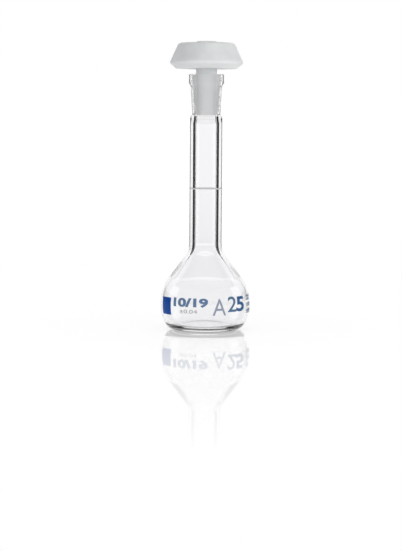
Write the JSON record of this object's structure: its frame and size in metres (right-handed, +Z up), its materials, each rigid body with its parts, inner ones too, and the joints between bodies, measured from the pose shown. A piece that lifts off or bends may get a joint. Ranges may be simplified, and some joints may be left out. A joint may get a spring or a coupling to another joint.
{
  "type": "volumetric flask",
  "caption": "Small glass volumetric flask with a pear-shaped body, long neck with a ring mark, tapered socket and a push-in plastic stopper.",
  "frame": {"origin": "centre of the base, on the surface the flask stands on", "axes": "+Z up along the neck's axis; the enamel markings face -Y"},
  "size_m": [0.0384, 0.0384, 0.124],
  "materials": {
    "borosilicate_glass": "clear, blown and fire polished; ground inside the socket",
    "ring_enamel": "fine fired line",
    "blue_enamel": "fired, slightly glossy",
    "polyethylene": "natural translucent, moulded, satin"
  },
  "bodies": {
    "flask": {"flask": "borosilicate_glass", "ring_mark": "ring_enamel", "enamel_panel": "blue_enamel"},
    "stopper": {"stopper": "polyethylene"}
  },
  "joints": [
    {"name": "stopper_lift", "type": "slide", "parent": "flask", "child": "stopper", "axis": [0, 0, 1], "range_m": [0, 0.018]}
  ]
}
